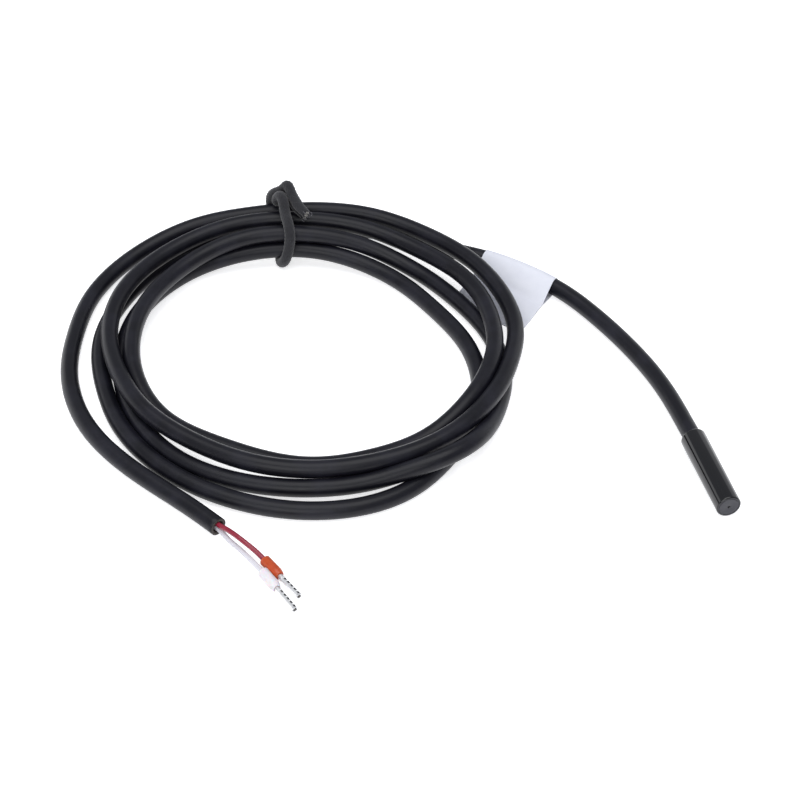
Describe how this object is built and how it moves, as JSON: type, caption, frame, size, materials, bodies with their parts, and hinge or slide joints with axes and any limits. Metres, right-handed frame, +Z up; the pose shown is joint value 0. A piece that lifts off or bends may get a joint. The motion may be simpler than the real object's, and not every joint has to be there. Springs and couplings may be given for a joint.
{
  "type": "bead thermistor probe",
  "caption": "Black moulded temperature probe with a bead thermistor inside, on a tied coil of round cable with ferruled wire ends and a blank flag label.",
  "frame": {"origin": "on the surface that the probe lies on, straight under the middle of the sheath", "axes": "+Z is up and +Y runs along the sheath from its tip to the end where the cable leaves it; the coil lies beyond that end, on the -X side"},
  "size_m": [0.1454, 0.1409, 0.0191],
  "materials": {
    "sheath": "glossy moulded black, matt end face",
    "jacket": "satin black soft PVC",
    "core_red": "smooth red insulation",
    "core_white": "smooth white insulation",
    "collar_orange": "satin moulded orange",
    "collar_white": "satin moulded white",
    "tinned": "bright tinned copper",
    "copper": "bare copper strands",
    "resin": "cast dark potting resin",
    "bead": "dark green dipped epoxy",
    "marker": "blank white label sheet",
    "tie": "dark textile over elastic"
  },
  "bodies": {
    "root": {"sensor_sheath": "sheath", "potting_resin": "resin", "thermistor_bead": "bead", "bead_lead_red": "tinned", "bead_lead_white": "tinned", "lead_tube_red": "core_white", "lead_tube_white": "core_white", "splice_red": "tinned", "splice_white": "tinned", "core_end_red": "core_red", "core_end_white": "core_white", "cable_lead": "jacket", "cable_coil": "jacket", "cable_tail": "jacket", "cable_tie": "tie", "red_core": "core_red", "white_core": "core_white", "red_strands": "copper", "white_strands": "copper", "red_ferrule_collar": "collar_orange", "white_ferrule_collar": "collar_white", "red_ferrule_pin": "tinned", "white_ferrule_pin": "tinned", "marker_label": "marker"}
  },
  "joints": []
}
